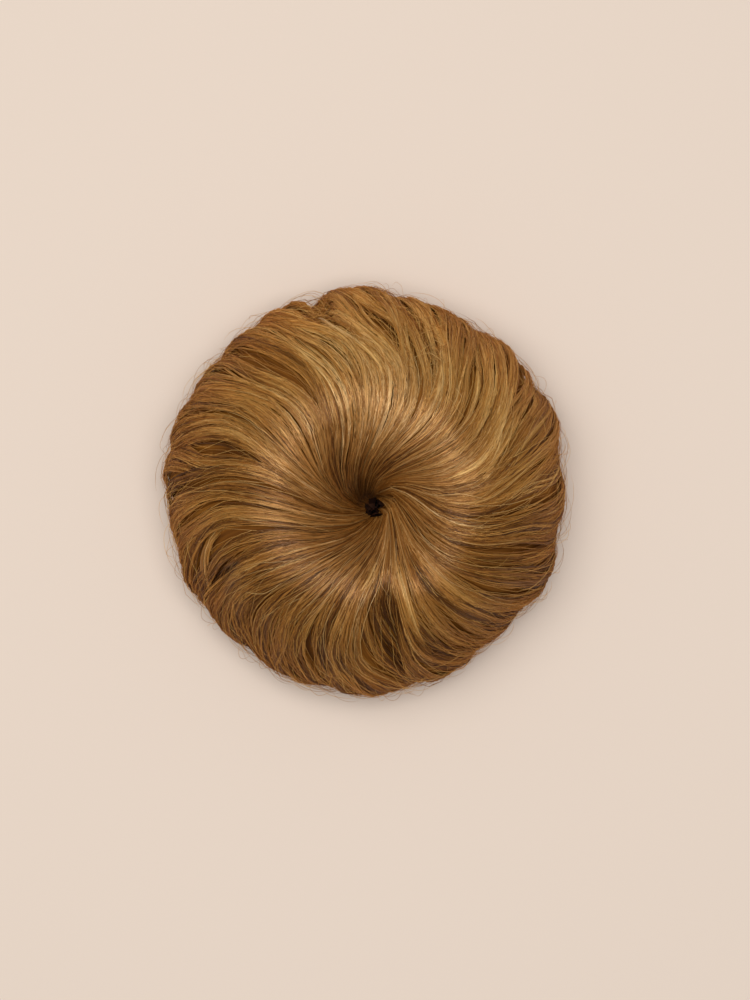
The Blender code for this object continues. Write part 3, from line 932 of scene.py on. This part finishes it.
# Crossing locks. Single light locks that lie over the others and swing across them.
# Each row: half width, how far it lies above the hair, tone, and the places it runs through from above.
crossing_rows = (
    (0.0009, 0.0009, 0.80, (
        (0.0446, 0.0426), (0.043, 0.0343), (0.0421, 0.0212), (0.0398, 0.0126), (0.0341, 0.0071),
        (0.0258, 0.0039), (0.0175, 0.0014))),
    (0.0011, 0.0006, 0.68, (
        (0.0491, 0.0343), (0.0465, 0.025), (0.0437, 0.0135), (0.0398, 0.0043), (0.0331, -0.0025),
        (0.0229, -0.006))),
    (0.0008, 0.0009, 0.95, (
        (-0.0062, 0.0522), (0.0025, 0.0483), (0.0079, 0.0455), (0.0127, 0.0391), (0.014, 0.0324))),
    (0.0010, 0.0009, 0.80, (
        (-0.0148, 0.0576), (-0.0126, 0.0538), (-0.0062, 0.0493), (0.0034, 0.0426), (0.0079, 0.0343))),
    (0.0008, 0.0006, 0.74, (
        (-0.0455, 0.0209), (-0.0397, 0.0186), (-0.0314, 0.0129), (-0.0231, 0.0071), (-0.0135, -0.0012))),
    (0.0013, 0.0003, 0.56, (
        (-0.0455, -0.0453), (-0.0502, -0.035), (-0.0518, -0.0261), (-0.0509, -0.0184), (-0.0464, -0.0111),
        (-0.0397, -0.0079), (-0.0301, -0.0072), (-0.0205, -0.0088))),
    (0.0011, 0.0009, 0.76, (
        (0.0066, -0.0101), (0.0089, -0.02), (0.0108, -0.0267), (0.0127, -0.0341), (0.0156, -0.0437),
        (0.0219, -0.0529))),
    (0.0010, 0.0008, 0.74, (
        (0.006, -0.0156), (0.0041, -0.0255), (-0.0007, -0.0331), (-0.0062, -0.0389), (-0.01, -0.0446))),
    (0.0008, 0.0005, 0.70, (
        (0.013, 0.009), (0.0178, 0.0129), (0.0258, 0.0186), (0.0312, 0.0273), (0.0338, 0.0368))),
)
crossing_stations = 26
crossing_depth = 0.0010


def run_through(places, count):
    """Even points on a smooth curve through places, found by cutting corners three times."""
    line = np.array(places)
    for cut in range(3):
        early = line[:-1] * 0.75 + line[1:] * 0.25
        late = line[:-1] * 0.25 + line[1:] * 0.75
        line = np.concatenate((line[:1], np.stack((early, late), axis=1).reshape(-1, 2), line[-1:]))
    return spaced(line, count)


crossing_points = np.empty((len(crossing_rows), crossing_stations, 3))
crossing_up = np.empty_like(crossing_points)
own_share = np.linspace(0.0, 1.0, crossing_stations)
own_arch = np.sin(math.pi * own_share) ** 0.7
for row, (_, raised, _, places) in enumerate(crossing_rows):
    for station, (x, y) in enumerate(run_through(places, crossing_stations)):
        hit = dome_surface.ray_cast(Vector((x, y, 0.1)), Vector((0.0, 0.0, -1.0)))[0]
        normal = smooth_normal(hit)
        crossing_points[row, station] = hit + normal * (raised * own_arch[station] - crossing_depth)
        crossing_up[row, station] = normal
crossing_forward = unit(np.gradient(crossing_points, axis=1))
crossing_layers = {
    "side": unit(np.cross(crossing_up, crossing_forward)),
    "up": crossing_up,
    "half_gap": np.array([row[0] for row in crossing_rows])[:, None] * (0.55 + 0.45 * own_arch),
    "along": np.tile(0.30 + 0.25 * own_share, (len(crossing_rows), 1)),
    "room": np.tile(own_arch, (len(crossing_rows), 1)),
    "tone": np.repeat(np.array([row[2] for row in crossing_rows])[:, None], crossing_stations, axis=1),
}
hair_piece("crossing_locks", crossing_points, crossing_layers, **{
    "Hairs per path": 45,
    "Crossing": 0.0018,
    "Straying": 0.0016,
    "Latest start": 0.22,
    "Earliest end": 0.72,
    "Lift": 0.0007,
    "Seed": 1200,
})


# Loose top hairs. Finer, lighter hairs that lie over the locks and cross them at small angles.
loose_layers = dict(bundle_layers)
loose_tone = 0.66
loose_rise = 0.0006
loose_layers["tone"] = np.full((bundle_count, stations), loose_tone)
loose_points = bundle_points + lay_up * (loose_rise * lay_room)[..., None]
hair_piece("loose_top_hairs", loose_points, loose_layers, **{
    "Hairs per path": 2,
    "Hairs per wisp": 1,
    "Hair width": 0.00017,
    "Spread": 4.0,
    "Crossing": 0.0120,
    "Lift": 0.0010,
    "Crown": 0.0003,
    "Frizz": 0.0009,
    "Tone spread": 0.30,
    "Seed": 900,
})


# Stray hairs and frizz. Single short hairs that have slipped out: some lie across the top, and most
# stand off the rim in thin arcs, so that the outline is soft.
stray_random = np.random.default_rng(23)
stray_points = 20
stray_rise = 0.0009
stray_wobble = 0.0004
calm_reach = 8
calm_points = sum(np.roll(bundle_points, shift, axis=0) for shift in range(-calm_reach, calm_reach + 1))
calm_points /= 2.0 * calm_reach + 1.0


def lay_sample(values, around, along):
    """Values of the lay between its paths: around counts paths, along runs from 0 to 1."""
    column = np.floor(around).astype(int)
    side_share = (around - column)[..., None]
    place = np.clip(along, 0.0, 1.0) * (stations - 1)
    row = np.minimum(place.astype(int), stations - 2)
    row_share = (place - row)[..., None]
    first, second = column % bundle_count, (column + 1) % bundle_count
    near = values[first, row] * (1.0 - row_share) + values[first, row + 1] * row_share
    far = values[second, row] * (1.0 - row_share) + values[second, row + 1] * row_share
    return near * (1.0 - side_share) + far * side_share


def stray_hairs(name, count, start, run, sideways, lift, tone, width, seed, where=(0.0, bundle_count)):
    """Short single hairs on arcs: start and run along the lay, sideways in paths, lift in metres."""
    step = np.linspace(0.0, 1.0, stray_points)

    def chosen(limits):
        return stray_random.uniform(*limits, count)[:, None]

    around = chosen(where) + chosen(sideways) * step ** chosen((0.7, 1.6))
    along = chosen(start) + chosen(run) * step ** chosen((0.6, 1.4))
    rise = stray_rise + chosen(lift) * np.sin(math.pi * step * chosen((0.6, 1.0))) ** 0.9
    up = lay_sample(lay_up, around, along)
    side = lay_sample(lay_side, around, along)
    points = lay_sample(calm_points, around, along) + up * rise[..., None]
    wobble = slow_noise(count, stray_points, 4, stray_random) * stray_wobble
    points += side * wobble[..., None]
    points[..., 2] = np.maximum(points[..., 2], floor_room)
    layers = {
        "side": side,
        "up": up,
        "half_gap": np.zeros_like(rise),
        "along": np.clip(along, 0.3, 0.6),
        "room": np.ones_like(rise),
        "tone": np.repeat(chosen(tone), stray_points, axis=1),
    }
    settings = dict.fromkeys(("Hairs per path", "Hairs per wisp"), 1)
    settings |= dict.fromkeys(("Wisp width", "Crossing", "Straying", "Crown", "Lift", "Frizz"), 0.0)
    settings |= dict.fromkeys(("Early share", "Earliest end"), 1.0)
    hair_piece(name, points, layers, **settings, **{
        "Hair width": width,
        "Root depth": 0.0010,
        "Points": stray_points,
        "Tone spread": 0.1,
        "Seed": seed,
    })


stray_hairs("stray_top_hairs", 150, (0.14, 0.42), (0.10, 0.28), (-6.0, 8.0), (0.0001, 0.0014), (0.62, 0.95),
            0.00014, 700)
stray_hairs("rim_frizz", 560, (0.50, 0.72), (0.04, 0.16), (-1.5, 5.0), (0.0003, 0.0022), (0.35, 0.75),
            0.00013, 800)
stray_hairs("rim_wisps", 330, (0.58, 0.76), (0.00, 0.11), (-1.5, 7.5), (0.0008, 0.0046), (0.50, 0.95),
            0.00011, 820)
stray_hairs("upper_tangle", 150, (0.40, 0.66), (-0.02, 0.12), (-8.0, 8.0), (0.0001, 0.0014), (0.40, 0.95),
            0.00016, 840, (38.0, 72.0))


# Comb. One moulded brown plastic comb inside the mouth of the cap.
comb_material, comb_tree, comb_shader = new_material("brown_comb_plastic")
comb_place = add_node(comb_tree, "ShaderNodeTexCoord").outputs["Object"]
comb_cloud = add_node(comb_tree, "ShaderNodeTexNoise", {"Vector": comb_place, "Scale": 220.0})
feed(comb_tree, comb_shader, {
    "Base Color": colour_ramp(
        comb_tree, comb_cloud.outputs["Fac"], (0.0, (0.035, 0.016, 0.007)), (1.0, (0.120, 0.060, 0.022))),
    "Roughness": 0.28,
})
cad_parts["clip_comb"].data.materials.clear()
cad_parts["clip_comb"].data.materials.append(comb_material)


# Stage: pale peach paper under soft light from above, seen straight from above.
floor_mesh = bpy.data.meshes.new("paper")
floor_size = 3.0
floor_mesh.from_pydata(
    [(-floor_size, -floor_size, 0.0), (floor_size, -floor_size, 0.0),
     (floor_size, floor_size, 0.0), (-floor_size, floor_size, 0.0)], [], [(0, 1, 2, 3)])
floor = bpy.data.objects.new("paper", floor_mesh)
bpy.context.scene.collection.objects.link(floor)
paper_material, paper_tree, paper_shader = new_material("pale_paper")
feed(paper_tree, paper_shader, {
    "Base Color": (0.80, 0.688, 0.600, 1.0),
    "Roughness": 0.9,
    "Specular IOR Level": 0.2,
})
floor_mesh.materials.append(paper_material)
aim_height = 0.02


def area_light(name, place, size, power, colour):
    data = bpy.data.lights.new(name, "AREA")
    data.size = size
    data.energy = power
    data.color = colour
    lamp = bpy.data.objects.new(name, data)
    lamp.location = place
    lamp.rotation_mode = "QUATERNION"
    lamp.rotation_quaternion = (Vector((0.0, 0.0, aim_height)) - Vector(place)).to_track_quat("-Z", "Y")
    bpy.context.scene.collection.objects.link(lamp)


area_light("key", (-0.30, 0.15, 1.35), 1.0, 9.8, (1.0, 0.97, 0.93))
area_light("overhead", (0.24, 0.05, 1.50), 0.8, 7.9, (1.0, 0.98, 0.96))
world = bpy.data.worlds.new("studio")
world.use_nodes = True
feed(world.node_tree, world.node_tree.nodes["Background"], {
    "Color": (1.0, 0.97, 0.94, 1.0),
    "Strength": 0.27,
})
bpy.context.scene.world = world
bpy.context.scene.view_settings.view_transform = "Standard"

# The camera looks straight down, placed so that the outline falls where the photograph has it.
photo_width = 750
photo_height = 1000
pixel = 0.13 / 399.0
photo_centre_x = 364.5
photo_centre_y = 490.5
camera_height = 1.30
sensor_width = 36.0
camera_data = bpy.data.cameras.new("camera")
camera_data.sensor_width = sensor_width
camera_data.lens = sensor_width * (camera_height - aim_height) / (photo_height * pixel)
camera = bpy.data.objects.new("camera", camera_data)
camera.location = (
    (0.5 * photo_width - photo_centre_x) * pixel,
    (photo_centre_y - 0.5 * photo_height) * pixel,
    camera_height)
bpy.context.scene.collection.objects.link(camera)
bpy.context.scene.camera = camera
